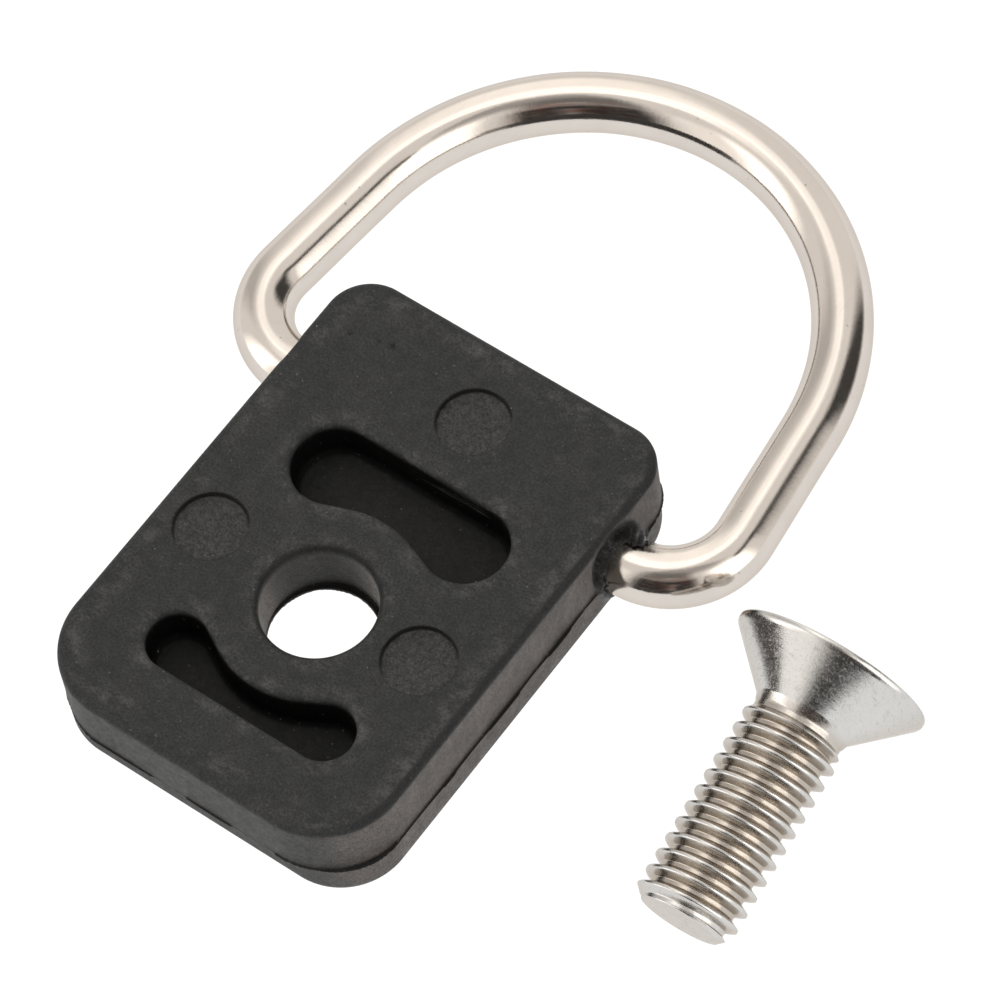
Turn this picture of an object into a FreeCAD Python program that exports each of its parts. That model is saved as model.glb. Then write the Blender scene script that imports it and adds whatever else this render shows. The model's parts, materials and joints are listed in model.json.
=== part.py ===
"""Pad eye: a moulded base block, a D-ring that swings in it, and the countersunk screw that fixes it.

Frame, in millimetres: the origin is where the screw bore's axis meets the mounting face.
+Z points out of the mounting face, and +Y towards the end of the block that holds the ring.
The block lies mounting face up, the ring stands out from it almost level, and the loose screw
lies beside them at the level of the block's front face.
"""

import FreeCAD, Part
import math
import os

import Sketcher
from FreeCAD import Vector

# Driving dimensions: alias, millimetres or degrees, meaning.
DIMENSIONS = [
    ("block_width", 21.8, "across the block, along X"),
    ("block_centre_x", -0.2, "middle of the block's width, from the bore's axis"),
    ("block_ring_end", 18.35, "bore axis to the end that holds the ring"),
    ("block_tail_end", 12.05, "bore axis to the far end"),
    ("block_thickness", 6.75, "mounting face to front face"),
    ("parting_depth", 3.95, "mounting face to the mould's parting plane"),
    ("back_ring_corner", 2.7, "corner radius at the ring end, mounting side"),
    ("back_tail_corner", 4.8, "corner radius at the far end, mounting side"),
    ("front_ring_corner", 3.6, "corner radius at the ring end, front side"),
    ("front_tail_corner", 4.0, "corner radius at the far end, front side"),
    ("mismatch_x", 0.1, "sideways step between the two mould halves"),
    ("mismatch_y", 0.3, "lengthways step between the two mould halves"),
    ("back_edge_round", 0.4, "rounding of the mounting face's edge"),
    ("front_edge_round", 1.0, "rounding of the front face's edge"),
    ("bore_radius", 3.3, "clearance bore for an M6 screw"),
    ("bore_rim_round", 0.45, "rounding of the bore's mouth"),
    ("sink_radius", 6.05, "radius of the 90 degree countersink at the front face"),
    ("boss_radius", 6.0, "outside of the wall round the bore, where the pockets bend round it"),
    ("pocket_depth", 2.6, "depth of both pockets"),
    ("pocket_rim_round", 0.25, "rounding of the pockets' rims"),
    ("ring_pocket_edge", 9.8, "bore axis to the ring-side pocket's straight edge"),
    ("ring_pocket_lobe", 2.45, "radius of that pocket's two lobes"),
    ("ring_pocket_half", 4.5, "bore axis to each of those lobes, along X"),
    ("tail_pocket_edge", 7.85, "bore axis to the far pocket's straight edge"),
    ("tail_pocket_lobe", 1.75, "radius of that pocket's two lobes"),
    ("tail_pocket_half", 5.0, "bore axis to each of those lobes, along X"),
    ("mark_radius", 2.13, "ejector pin marks"),
    ("mark_depth", 0.12, "how far the ejector marks are sunk"),
    ("end_mark_x", 0.35, "mark between the ring-side pocket and the ring end"),
    ("end_mark_y", 13.7, "the same mark, along Y"),
    ("left_mark_x", -7.75, "mark beside the bore, on the -X side"),
    ("left_mark_y", 0.5, "the same mark, along Y"),
    ("right_mark_x", 6.75, "mark beside the bore, on the +X side"),
    ("right_mark_y", 0.1, "the same mark, along Y"),
    ("wire_radius", 1.75, "the ring's wire"),
    ("bar_clearance", 0.05, "radial clearance of the bar in the block"),
    ("bar_y", 12.65, "bore axis to the ring's bar"),
    ("flare_radius", 2.7, "mouth of the funnel where the bar leaves the block"),
    ("flare_depth", 0.8, "depth of that funnel"),
    ("cut_past", 1.0, "how far the bar hole's cutting section reaches past the block"),
    ("ring_centre_x", -0.35, "middle of the ring, from the bore's axis"),
    ("bar_half", 11.45, "half of the bar's straight length"),
    ("bend_radius", 4.45, "centre line of the two bends next to the bar"),
    ("leg_lean", 6.2, "how far each leg leans inwards, in degrees"),
    ("leg_length", 7.35, "straight length of each leg"),
    ("ring_raise", 0.5, "how far the ring's crown is tipped up from level, in degrees"),
    ("rest_gap", 0.02, "air under the screw as it lies"),
    ("screw_length", 16.0, "flat of the head to the tip"),
    ("head_radius", 5.7, "countersunk head"),
    ("head_rim", 0.35, "cylindrical edge of the head"),
    ("neck_radius", 2.63, "plain neck under the head"),
    ("neck_length", 0.6, "plain neck under the head"),
    ("thread_radius", 2.95, "M6 thread, over the crests"),
    ("thread_pitch", 1.0, "M6 coarse thread"),
    ("thread_depth", 0.55, "crest to root"),
    ("groove_mouth", 0.43, "half of the thread groove's width at the crests"),
    ("groove_floor", 0.12, "half of the thread groove's width at the root"),
    ("groove_overcut", 0.08, "how far the groove's cutting section reaches past the crests"),
    ("tip_bevel", 0.6, "bevel at the screw's tip"),
    ("recess_reach", 3.2, "cross recess: middle to a wing's end, at the face"),
    ("recess_wing", 0.75, "cross recess: half of a wing's width, at the face"),
    ("recess_depth", 2.6, "cross recess: depth"),
    ("recess_floor_reach", 1.3, "cross recess: middle to a wing's end, at the bottom"),
    ("recess_floor_wing", 0.4, "cross recess: half of a wing's width, at the bottom"),
    ("screw_x", 25.1, "middle of the loose screw's head"),
    ("screw_y", 12.4, "the same point, along Y"),
    ("screw_heading", 93.2, "loose screw, tip to head, in degrees from +X"),
]

# Dimensions worked out from the ones above, in the sheet itself.
WORKED_OUT = [
    ("back_left", "=block_centre_x - block_width / 2"),
    ("back_right", "=block_centre_x + block_width / 2"),
    ("back_low", "=-block_tail_end"),
    ("front_left", "=back_left + mismatch_x"),
    ("front_right", "=back_right + mismatch_x"),
    ("front_low", "=back_low + mismatch_y"),
    ("front_top", "=block_ring_end + mismatch_y"),
    ("front_depth", "=block_thickness - parting_depth"),
    ("sink_depth", "=sink_radius - bore_radius"),
    ("bar_hole_radius", "=wire_radius + bar_clearance"),
    ("bar_z", "=-parting_depth"),
    ("flare_left", "=back_left + flare_depth"),
    ("flare_right", "=back_right - flare_depth"),
    ("bar_hole_left", "=back_left - cut_past"),
    ("bar_hole_right", "=back_right + cut_past"),
    ("leg_turn", "=90 + leg_lean"),
    ("bend_out_x", "=bar_half + bend_radius * cos(leg_lean * 1deg)"),
    ("bend_out_y", "=bend_radius * (1 + sin(leg_lean * 1deg))"),
    ("leg_top_x", "=bend_out_x - leg_length * sin(leg_lean * 1deg)"),
    ("leg_top_y", "=bend_out_y + leg_length * cos(leg_lean * 1deg)"),
    ("crown_radius", "=leg_top_x / cos(leg_lean * 1deg)"),
    ("crown_y", "=leg_top_y - crown_radius * sin(leg_lean * 1deg)"),
    ("head_height", "=head_rim + head_radius - neck_radius"),
    ("rim_z", "=-head_rim"),
    ("neck_top_z", "=-head_height"),
    ("neck_end_z", "=neck_top_z - neck_length"),
    ("thread_start_z", "=neck_end_z - (thread_radius - neck_radius)"),
    ("tip_z", "=-screw_length"),
    ("bevel_z", "=tip_z + tip_bevel"),
    ("tip_radius", "=thread_radius - tip_bevel"),
    ("root_radius", "=thread_radius - thread_depth"),
    ("groove_outer", "=thread_radius + groove_overcut"),
    ("groove_spread", "=groove_mouth + groove_overcut * (groove_mouth - groove_floor) / thread_depth"),
    ("groove_start_z", "=tip_z - thread_pitch / 2"),
    ("groove_floor_low", "=groove_start_z - groove_floor"),
    ("groove_floor_high", "=groove_start_z + groove_floor"),
    ("groove_mouth_low", "=groove_start_z - groove_spread"),
    ("groove_mouth_high", "=groove_start_z + groove_spread"),
    ("groove_run", "=neck_end_z - groove_start_z"),
    ("screw_tilt", "=atan((head_radius - thread_radius) / (screw_length - head_rim - tip_bevel)) / 1deg"),
    ("screw_z", "=head_radius * cos(screw_tilt * 1deg) + head_rim * sin(screw_tilt * 1deg)"
                " + rest_gap - block_thickness"),
]


def fill_sheet(doc):
    """Writes every dimension to the document's spreadsheet, under its alias."""
    sheet = doc.addObject("Spreadsheet::Sheet", "Dim")
    cells = [(alias, str(value)) for alias, value, _ in DIMENSIONS] + WORKED_OUT
    for row, (alias, content) in enumerate(cells, 1):
        sheet.set(f"A{row}", alias)
        sheet.set(f"B{row}", content)
        sheet.setAlias(f"B{row}", alias)
    doc.recompute()
    return sheet


def cell(alias):
    """The present value of a cell, as a plain number."""
    found = getattr(FreeCAD.ActiveDocument.Dim, alias)
    return float(getattr(found, "Value", found))


def bind(thing, **aliases):
    """Ties properties to cells of the sheet: bind(pad, Length="front_depth")."""
    for name, alias in aliases.items():
        thing.setExpression(name, f"Dim.{alias}")


# Sketches


def new_sketch(body, name, role, lift=None):
    """A sketch on one of the body's origin planes, moved along the plane's normal by a formula."""
    sketch = body.newObject("Sketcher::SketchObject", name)
    plane = next(part for part in body.Origin.OriginFeatures if part.Role == role)
    sketch.AttachmentSupport = [(plane, "")]
    sketch.MapMode = "FlatFace"
    if lift:
        sketch.setExpression("AttachmentOffset.Base.z", lift)
    return sketch


def line(sketch, start, end):
    return sketch.addGeometry(Part.LineSegment(Vector(*start, 0), Vector(*end, 0)), False)


def arc(sketch, centre, radius, first, last):
    """An anticlockwise arc between two angles in degrees."""
    circle = Part.Circle(Vector(*centre, 0), Vector(0, 0, 1), radius)
    bent = Part.ArcOfCircle(circle, math.radians(first), math.radians(last))
    return sketch.addGeometry(bent, False)


def rule(sketch, kind, *places):
    sketch.addConstraint(Sketcher.Constraint(kind, *places))


def size(sketch, kind, places, alias, sign=1):
    """A dimensional constraint whose value is a cell of the sheet, or its negative."""
    unit = 1.0
    if kind == "Angle":
        unit = math.radians(1)
    constraint = Sketcher.Constraint(kind, *places, sign * cell(alias) * unit)
    index = sketch.addConstraint(constraint)
    minus = "-" if sign < 0 else ""
    degrees = " * 1deg" if kind == "Angle" else ""
    sketch.setExpression(f"Constraints[{index}]", f"{minus}Dim.{alias}{degrees}")


START, END, CENTRE = 1, 2, 3
ORIGIN = (-1, 1)
Y_AXIS = -2


def chain_tangent(sketch, items):
    """Joins each segment to the next one, tangent. An item is (geometry, leaving point)."""
    for (first, leaving), (second, arriving_end) in zip(items, items[1:] + items[:1]):
        arriving = START if arriving_end == END else END
        rule(sketch, "Tangent", first, leaving, second, arriving)


def polygon(sketch, corners):
    """A closed outline whose corners lie at (x cell, y cell); None stands for zero."""
    value = [tuple(0.0 if alias is None else cell(alias) for alias in corner) for corner in corners]
    sides = [line(sketch, value[i], value[(i + 1) % len(value)]) for i in range(len(value))]
    for i, side in enumerate(sides):
        rule(sketch, "Coincident", side, END, sides[(i + 1) % len(sides)], START)
    for side, (x_alias, y_alias) in zip(sides, corners):
        for kind, alias in (("DistanceX", x_alias), ("DistanceY", y_alias)):
            if alias is None:
                sketch.addConstraint(Sketcher.Constraint(kind, *ORIGIN, side, START, 0.0))
            else:
                size(sketch, kind, (*ORIGIN, side, START), alias)


def disc(sketch, radius_alias, x_alias=None, y_alias=None):
    """A circle round the origin, or round a point given by two cells."""
    centre = (0, 0) if x_alias is None else (cell(x_alias), cell(y_alias))
    round_one = Part.Circle(Vector(*centre, 0), Vector(0, 0, 1), cell(radius_alias))
    circle = sketch.addGeometry(round_one, False)
    size(sketch, "Radius", (circle,), radius_alias)
    if x_alias is None:
        rule(sketch, "Coincident", circle, CENTRE, *ORIGIN)
    else:
        size(sketch, "DistanceX", (*ORIGIN, circle, CENTRE), x_alias)
        size(sketch, "DistanceY", (*ORIGIN, circle, CENTRE), y_alias)


def rounded_box(sketch, left, right, low, top, low_corner, top_corner):
    """A rectangle with its sides at four cells, and one corner radius for each end."""
    x0, x1, y0, y1 = cell(left), cell(right), cell(low), cell(top)
    r0, r1 = cell(low_corner), cell(top_corner)
    east = line(sketch, (x1, y0 + r0), (x1, y1 - r1))
    north_east = arc(sketch, (x1 - r1, y1 - r1), r1, 0, 90)
    north = line(sketch, (x1 - r1, y1), (x0 + r1, y1))
    north_west = arc(sketch, (x0 + r1, y1 - r1), r1, 90, 180)
    west = line(sketch, (x0, y1 - r1), (x0, y0 + r0))
    south_west = arc(sketch, (x0 + r0, y0 + r0), r0, 180, 270)
    south = line(sketch, (x0 + r0, y0), (x1 - r0, y0))
    south_east = arc(sketch, (x1 - r0, y0 + r0), r0, 270, 360)
    ring = [east, north_east, north, north_west, west, south_west, south, south_east]
    chain_tangent(sketch, [(segment, END) for segment in ring])
    for upright in (east, west):
        rule(sketch, "Vertical", upright)
    for level in (north, south):
        rule(sketch, "Horizontal", level)
    size(sketch, "DistanceX", (*ORIGIN, east, START), right)
    size(sketch, "DistanceX", (*ORIGIN, west, START), left)
    size(sketch, "DistanceY", (*ORIGIN, north, START), top)
    size(sketch, "DistanceY", (*ORIGIN, south, START), low)
    size(sketch, "Radius", (north_east,), top_corner)
    size(sketch, "Radius", (south_west,), low_corner)
    rule(sketch, "Equal", north_east, north_west)
    rule(sketch, "Equal", south_west, south_east)


def bow(sketch, side, edge, lobe, half):
    """A pocket outline: a straight edge, a round lobe at each end, and an arc round the bore.

    side is +1 for the pocket on the ring's side of the bore and -1 for the one beyond it.
    """
    boss, lobe_radius = cell("boss_radius"), cell(lobe)
    x, y = cell(half), cell(edge) - lobe_radius
    lean = math.degrees(math.atan2(y, x) + math.acos((boss + lobe_radius) / math.hypot(x, y)))
    on_boss = [boss * math.cos(math.radians(lean)), boss * math.sin(math.radians(lean))]
    on_lobe = [x - lobe_radius * math.cos(math.radians(lean)),
               y - lobe_radius * math.sin(math.radians(lean))]
    turn = 0 if side > 0 else 180

    def put(point, mirrored=False):
        px = -point[0] if mirrored else point[0]
        return (side * px, side * point[1])

    right = arc(sketch, put((x, y)), lobe_radius, 180 + lean + turn, 450 + turn)
    straight = line(sketch, put((x, y + lobe_radius)), put((-x, y + lobe_radius)))
    left = arc(sketch, put((-x, y)), lobe_radius, 90 + turn, 360 - lean + turn)
    left_web = line(sketch, put(on_lobe, True), put(on_boss, True))
    inner = arc(sketch, (0, 0), boss, lean + turn, 180 - lean + turn)
    right_web = line(sketch, put(on_boss), put(on_lobe))
    chain_tangent(sketch, [(right, END), (straight, END), (left, END), (left_web, END),
                           (inner, START), (right_web, END)])
    rule(sketch, "Coincident", inner, CENTRE, *ORIGIN)
    rule(sketch, "Horizontal", straight)
    rule(sketch, "Equal", left, right)
    size(sketch, "Radius", (inner,), "boss_radius")
    size(sketch, "Radius", (right,), lobe)
    size(sketch, "DistanceY", (*ORIGIN, straight, START), edge, side)
    size(sketch, "DistanceX", (*ORIGIN, right, CENTRE), half, side)
    size(sketch, "DistanceX", (*ORIGIN, left, CENTRE), half, -side)


# Features


def add(body, kind, name, profile, **aliases):
    """A PartDesign feature made from a sketch."""
    made = body.newObject(f"PartDesign::{kind}", name)
    made.Profile = profile
    bind(made, **aliases)
    return made


def dress(body, kind, name, wanted, **aliases):
    """A fillet or chamfer on every edge of the body's present shape that passes a test."""
    body.Document.recompute()
    base = body.Tip
    names = [f"Edge{i}" for i, edge in enumerate(base.Shape.Edges, 1) if wanted(edge)]
    made = body.newObject(f"PartDesign::{kind}", name)
    made.Base = (base, names)
    bind(made, **aliases)
    return made


def level_edge(z, inside=None):
    """A test for edges that lie flat at a height, optionally with their middle inside a box."""
    def wanted(edge):
        bounds = edge.BoundBox
        if abs(bounds.ZMin - z) > 1e-4 or abs(bounds.ZMax - z) > 1e-4:
            return False
        return inside is None or inside(bounds.Center)
    return wanted


def round_bore(middle):
    """True if an edge with this middle goes round the bore's axis."""
    return math.hypot(middle.x, middle.y) < cell("bore_radius") / 2


def round_pocket(middle):
    """True if an edge with this middle belongs to one of the two pockets' rims."""
    beside_bore = cell("bore_radius") < abs(middle.y) < cell("ring_pocket_edge") + cell("pocket_rim_round")
    return beside_bore and abs(middle.x) < cell("ring_pocket_half") + cell("ring_pocket_lobe")


def revolve_all_round(feature, sketch, axis):
    feature.ReferenceAxis = (sketch, [axis])
    feature.Angle = 360


# Pieces


def make_block(doc):
    """The moulded block: two mould halves, bore with countersink, pockets, marks and bar hole."""
    body = doc.addObject("PartDesign::Body", "base_block")
    outline = new_sketch(body, "back_outline", "XY_Plane")
    rounded_box(outline, "back_left", "back_right", "back_low", "block_ring_end",
                "back_tail_corner", "back_ring_corner")
    back = add(body, "Pad", "back_half", outline, Length="parting_depth")
    back.Reversed = True
    outline = new_sketch(body, "front_outline", "XY_Plane", "-Dim.parting_depth")
    rounded_box(outline, "front_left", "front_right", "front_low", "front_top",
                "front_tail_corner", "front_ring_corner")
    front = add(body, "Pad", "front_half", outline, Length="front_depth")
    front.Reversed = True
    dress(body, "Fillet", "back_edge", level_edge(0), Radius="back_edge_round")
    dress(body, "Fillet", "front_edge", level_edge(-cell("block_thickness")),
          Radius="front_edge_round")

    hole = new_sketch(body, "bore_circle", "XY_Plane")
    disc(hole, "bore_radius")
    bore = add(body, "Pocket", "screw_bore", hole)
    bore.Type = "ThroughAll"
    sink = dress(body, "Chamfer", "countersink",
                 level_edge(-cell("block_thickness"), round_bore), Size="sink_depth")
    sink.ChamferType = "Equal distance"
    dress(body, "Fillet", "bore_rim", level_edge(0, round_bore), Radius="bore_rim_round")

    for name, side in (("ring", 1), ("tail", -1)):
        shape = new_sketch(body, f"{name}_pocket_outline", "XY_Plane")
        bow(shape, side, f"{name}_pocket_edge", f"{name}_pocket_lobe", f"{name}_pocket_half")
        add(body, "Pocket", f"{name}_pocket", shape, Length="pocket_depth")
    dress(body, "Fillet", "pocket_rims", level_edge(0, round_pocket), Radius="pocket_rim_round")

    marks = new_sketch(body, "ejector_marks", "XY_Plane")
    for name in ("end", "left", "right"):
        disc(marks, "mark_radius", f"{name}_mark_x", f"{name}_mark_y")
    add(body, "Pocket", "marks", marks, Length="mark_depth")

    tunnel = new_sketch(body, "bar_hole_profile", "XY_Plane", "Dim.bar_z")
    tunnel.setExpression("AttachmentOffset.Base.y", "Dim.bar_y")
    polygon(tunnel, [("bar_hole_left", None), ("bar_hole_right", None),
                     ("bar_hole_right", "flare_radius"), ("back_right", "flare_radius"),
                     ("flare_right", "bar_hole_radius"), ("flare_left", "bar_hole_radius"),
                     ("back_left", "flare_radius"), ("bar_hole_left", "flare_radius")])
    groove = add(body, "Groove", "bar_hole", tunnel)
    revolve_all_round(groove, tunnel, "H_Axis")
    return body


def make_ring(doc):
    """The D-ring: a closed loop of round wire, with its bar in the block's bar hole."""
    body = doc.addObject("PartDesign::Body", "d_ring")
    lean = cell("leg_lean")
    bar, bend = cell("bar_half"), cell("bend_radius")
    out = (cell("bend_out_x"), cell("bend_out_y"))
    top = (cell("leg_top_x"), cell("leg_top_y"))
    path = new_sketch(body, "wire_path", "XY_Plane")
    right_bar = line(path, (0, 0), (bar, 0))
    right_bend = arc(path, (bar, bend), bend, 270, 360 + lean)
    right_leg = line(path, out, top)
    crown = arc(path, (0, cell("crown_y")), cell("crown_radius"), lean, 180 - lean)
    left_leg = line(path, (-top[0], top[1]), (-out[0], out[1]))
    left_bend = arc(path, (-bar, bend), bend, 180 - lean, 270)
    left_bar = line(path, (-bar, 0), (0, 0))
    wire = [right_bar, right_bend, right_leg, crown, left_leg, left_bend, left_bar]
    for first, second in zip(wire, wire[1:]):
        rule(path, "Tangent", first, END, second, START)
    rule(path, "Coincident", right_bar, START, *ORIGIN)
    rule(path, "Coincident", left_bar, END, *ORIGIN)
    rule(path, "Horizontal", right_bar)
    rule(path, "Horizontal", left_bar)
    rule(path, "Equal", right_bend, left_bend)
    rule(path, "PointOnObject", crown, CENTRE, Y_AXIS)
    size(path, "DistanceX", (*ORIGIN, right_bar, END), "bar_half")
    size(path, "DistanceX", (*ORIGIN, left_bar, START), "bar_half", -1)
    size(path, "Radius", (right_bend,), "bend_radius")
    size(path, "Distance", (right_leg,), "leg_length")
    size(path, "Angle", (right_leg,), "leg_turn")

    section = new_sketch(body, "wire_section", "YZ_Plane")
    disc(section, "wire_radius")
    pipe = add(body, "AdditivePipe", "wire", section)
    pipe.Spine = path
    body.setExpression("Placement", "placement(vector(Dim.ring_centre_x; Dim.bar_y; Dim.bar_z);"
                                    " rotation(0; 0; Dim.ring_raise))")
    return body


def cross(sketch, reach, wing):
    """The outline of a cross recess, centred on the origin."""
    r, w = cell(reach), cell(wing)
    corners = [(r, -w), (r, w), (w, w), (w, r), (-w, r), (-w, w),
               (-r, w), (-r, -w), (-w, -w), (-w, -r), (w, -r), (w, -w)]
    sides = [line(sketch, corners[i], corners[(i + 1) % len(corners)]) for i in range(len(corners))]
    for i, side in enumerate(sides):
        rule(sketch, "Coincident", side, END, sides[(i + 1) % len(sides)], START)
        x, y = corners[i]
        for kind, value in (("DistanceX", x), ("DistanceY", y)):
            alias = reach if abs(value) == r else wing
            size(sketch, kind, (*ORIGIN, side, START), alias, 1 if value > 0 else -1)


def make_screw(doc):
    """The countersunk machine screw, lying on its head's rim and its thread's tip."""
    body = doc.addObject("PartDesign::Body", "countersunk_screw")
    half = new_sketch(body, "screw_profile", "XZ_Plane")
    polygon(half, [(None, None), ("head_radius", None), ("head_radius", "rim_z"),
                   ("neck_radius", "neck_top_z"), ("neck_radius", "neck_end_z"),
                   ("thread_radius", "thread_start_z"), ("thread_radius", "bevel_z"),
                   ("tip_radius", "tip_z"), (None, "tip_z")])
    blank = add(body, "Revolution", "blank", half)
    revolve_all_round(blank, half, "V_Axis")

    section = new_sketch(body, "thread_groove_section", "XZ_Plane")
    polygon(section, [("root_radius", "groove_floor_low"), ("groove_outer", "groove_mouth_low"),
                      ("groove_outer", "groove_mouth_high"), ("root_radius", "groove_floor_high")])
    thread = add(body, "SubtractiveHelix", "thread", section, Pitch="thread_pitch",
                 Height="groove_run")
    thread.Mode = "pitch-height-angle"
    thread.ReferenceAxis = (section, ["V_Axis"])

    face = new_sketch(body, "recess_mouth", "XY_Plane")
    cross(face, "recess_reach", "recess_wing")
    bottom = new_sketch(body, "recess_bottom", "XY_Plane", "-Dim.recess_depth")
    cross(bottom, "recess_floor_reach", "recess_floor_wing")
    recess = add(body, "SubtractiveLoft", "cross_recess", face)
    recess.Sections = [bottom]
    recess.Ruled = True
    body.setExpression("Placement", "placement(vector(Dim.screw_x; Dim.screw_y; Dim.screw_z);"
                                    " rotation(Dim.screw_heading; 90 - Dim.screw_tilt; 0))")
    return body


def check(doc, pieces):
    """Stops the build if anything in the document failed, or if a piece isn't one good solid."""
    for thing in doc.Objects:
        if {"Invalid", "Error"} & set(thing.State):
            raise RuntimeError(f"{thing.Label} failed: {thing.State}")
    for piece in pieces:
        shape = piece.Shape
        if shape.isNull() or not shape.isValid() or len(shape.Solids) != 1:
            raise RuntimeError(f"{piece.Label} isn't one valid solid")
        bounds = shape.BoundBox
        print(f"{piece.Label}: {shape.Volume:.2f} mm3,"
              f" x {bounds.XMin:.2f} to {bounds.XMax:.2f},"
              f" y {bounds.YMin:.2f} to {bounds.YMax:.2f},"
              f" z {bounds.ZMin:.2f} to {bounds.ZMax:.2f}")


def check_cuts(body):
    """Stops the build if a feature that should remove material removed none."""
    before = None
    for feature in body.Group:
        if not hasattr(feature, "AddSubShape"):
            if feature.isDerivedFrom("PartDesign::Feature"):
                before = feature.Shape.Volume
            continue
        cuts = any(word in feature.TypeId for word in ("Pocket", "Groove", "Subtractive"))
        if cuts and feature.Shape.Volume > before - 1e-3:
            raise RuntimeError(f"{feature.Label} cut nothing")
        before = feature.Shape.Volume


def main():
    doc = FreeCAD.newDocument("pad_eye")
    fill_sheet(doc)
    pieces = [make_block(doc), make_ring(doc), make_screw(doc)]
    doc.recompute()
    check(doc, pieces)
    for piece in pieces:
        check_cuts(piece)
    os.makedirs("parts", exist_ok=True)
    for piece in pieces:
        piece.Shape.exportStep(f"parts/{piece.Label}.step")


main()
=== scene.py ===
"""Pad eye: the looks of its moulded block, its D-ring and its countersunk screw.

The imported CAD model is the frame, and it sets where everything lies. Shapes are worked out in
millimetres, in the CAD model's own axes, and scaled to metres as they become meshes.
"""

import json
import math

import bpy
import bmesh
import numpy as np
import openvdb
from mathutils import Matrix, Vector


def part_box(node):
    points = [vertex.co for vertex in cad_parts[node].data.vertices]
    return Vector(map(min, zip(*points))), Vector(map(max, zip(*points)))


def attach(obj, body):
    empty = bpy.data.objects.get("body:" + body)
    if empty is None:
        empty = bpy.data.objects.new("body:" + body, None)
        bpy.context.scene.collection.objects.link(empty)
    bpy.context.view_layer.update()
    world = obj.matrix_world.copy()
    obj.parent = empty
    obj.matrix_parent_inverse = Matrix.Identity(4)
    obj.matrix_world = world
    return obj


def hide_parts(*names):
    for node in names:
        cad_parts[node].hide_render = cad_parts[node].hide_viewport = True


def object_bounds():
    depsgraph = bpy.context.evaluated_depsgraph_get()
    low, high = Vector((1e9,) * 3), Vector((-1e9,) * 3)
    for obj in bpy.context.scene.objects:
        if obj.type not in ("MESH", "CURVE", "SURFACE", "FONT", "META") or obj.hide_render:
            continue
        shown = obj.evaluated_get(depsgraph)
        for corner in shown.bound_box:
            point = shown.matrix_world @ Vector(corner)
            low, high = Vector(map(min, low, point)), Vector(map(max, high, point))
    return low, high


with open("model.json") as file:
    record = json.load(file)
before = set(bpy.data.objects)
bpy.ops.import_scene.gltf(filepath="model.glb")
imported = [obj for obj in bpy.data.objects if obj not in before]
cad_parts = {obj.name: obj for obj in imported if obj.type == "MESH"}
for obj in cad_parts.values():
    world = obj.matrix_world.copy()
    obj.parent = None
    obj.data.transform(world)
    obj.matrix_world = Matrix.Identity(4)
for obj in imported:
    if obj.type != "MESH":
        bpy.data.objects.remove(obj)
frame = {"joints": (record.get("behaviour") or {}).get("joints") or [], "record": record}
cad_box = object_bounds()

MM = 0.001


def box_mm(node):
    """A CAD node's lowest and highest corners, in millimetres."""
    low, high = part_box(node)
    return np.array(low) / MM, np.array(high) / MM


def named(items, name):
    return next(item for item in items if item["name"] == name)


MOUNTS = frame["record"]["mounts"]

# Block, in millimetres. Its two mould halves meet at the parting plane, a little out of line.
BLOCK_LOW, BLOCK_HIGH = box_mm("base_block")
MISMATCH = np.array((0.1, 0.3))  # the step between the halves, along X and Y
BACK_LOW, BACK_HIGH = BLOCK_LOW[:2], BLOCK_HIGH[:2] - MISMATCH
FRONT_LOW, FRONT_HIGH = BLOCK_LOW[:2] + MISMATCH, BLOCK_HIGH[:2]
BACK_CORNERS = (4.8, 2.7)  # radius at the far end and at the ring end, for the mounting side
FRONT_CORNERS = (4.0, 3.6)
FRONT_Z = BLOCK_LOW[2]
BACK_EDGE_ROUND = 0.36
FRONT_EDGE_ROUND = 1.0
BORE_RADIUS = named(MOUNTS, "screw_bore")["dims"]["r_mm"]
BORE_RIM_ROUND = 0.45
BORE_MOUTH_Z = -1.45  # the bore's rim is rounded above this, and its lip is below
SINK_RADIUS = 6.05  # the countersink at the front face
FLASH_OUT, FLASH_HALF = 0.1, 0.05  # how far the flash stands out, and half of its thickness
SEAM_GROOVE, SEAM_RISE = 0.035, 0.04  # the groove beside the flash: radius, and height above it
LIP_RADIUS, LIP_HALF = 3.14, 0.1  # the flash left in the bore: its edge, and half of its thickness
LIP_SHIFT = 0.22  # how far the lip's middle is off the bore's, towards -Y
BOSS_RADIUS = 6.0  # the wall round the bore, where the pockets bend round it
POCKET_DEPTH = 2.6
POCKET_FLOOR_ROUND, POCKET_RIM_ROUND = 0.35, 0.33
POCKETS = ((1, 9.8, 2.45, 4.5), (-1, 7.85, 1.75, 5.0))  # side, straight edge, lobe, half width
MARKS = ((0.35, 13.7), (-7.75, 0.5), (6.75, 0.1))  # ejector pin marks, along X and Y
MARK_RADIUS = 2.13
MARK_DEPTH = 0.14
MARK_TILT = 0.11  # deeper by this at the rim away from +X and towards +Y
PITS = ((-8.8, 14.6, 0.15), (-7.1, 15.0, 0.12), (-6.3, 15.2, 0.17), (3.9, 16.4, 0.1))  # x, y, radius
SCOOP_HALF, SCOOP_RISE, SCOOP_FALL, SCOOP_DEPTH = 2.2, 4.2, 2.1, 0.75  # torn out round the wire
SCOOP_LEAN = 0.18  # how far the scoop leans towards -Y for each millimetre up
SLEEVE_WALL, SLEEVE_OUT = 0.2, 0.12  # rubber left on the wire: its thickness, and how far it stands out
SCRAP_OUT, SCRAP_ACROSS = 0.35, 0.95  # middle of a scrap on the +X wire: out of the wall, and along Y
SCRAP_SIZE = (0.9, 0.6, 0.28)  # half of the scrap's length, width and thickness
WIRE_GAP = 0.02  # between wire and rubber in the field; meshing and the wire's waves leave less
VOXEL = 0.085
BAND = 4 * VOXEL
KEPT_FACES = 0.42  # the share of the block's faces that thinning keeps

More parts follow.
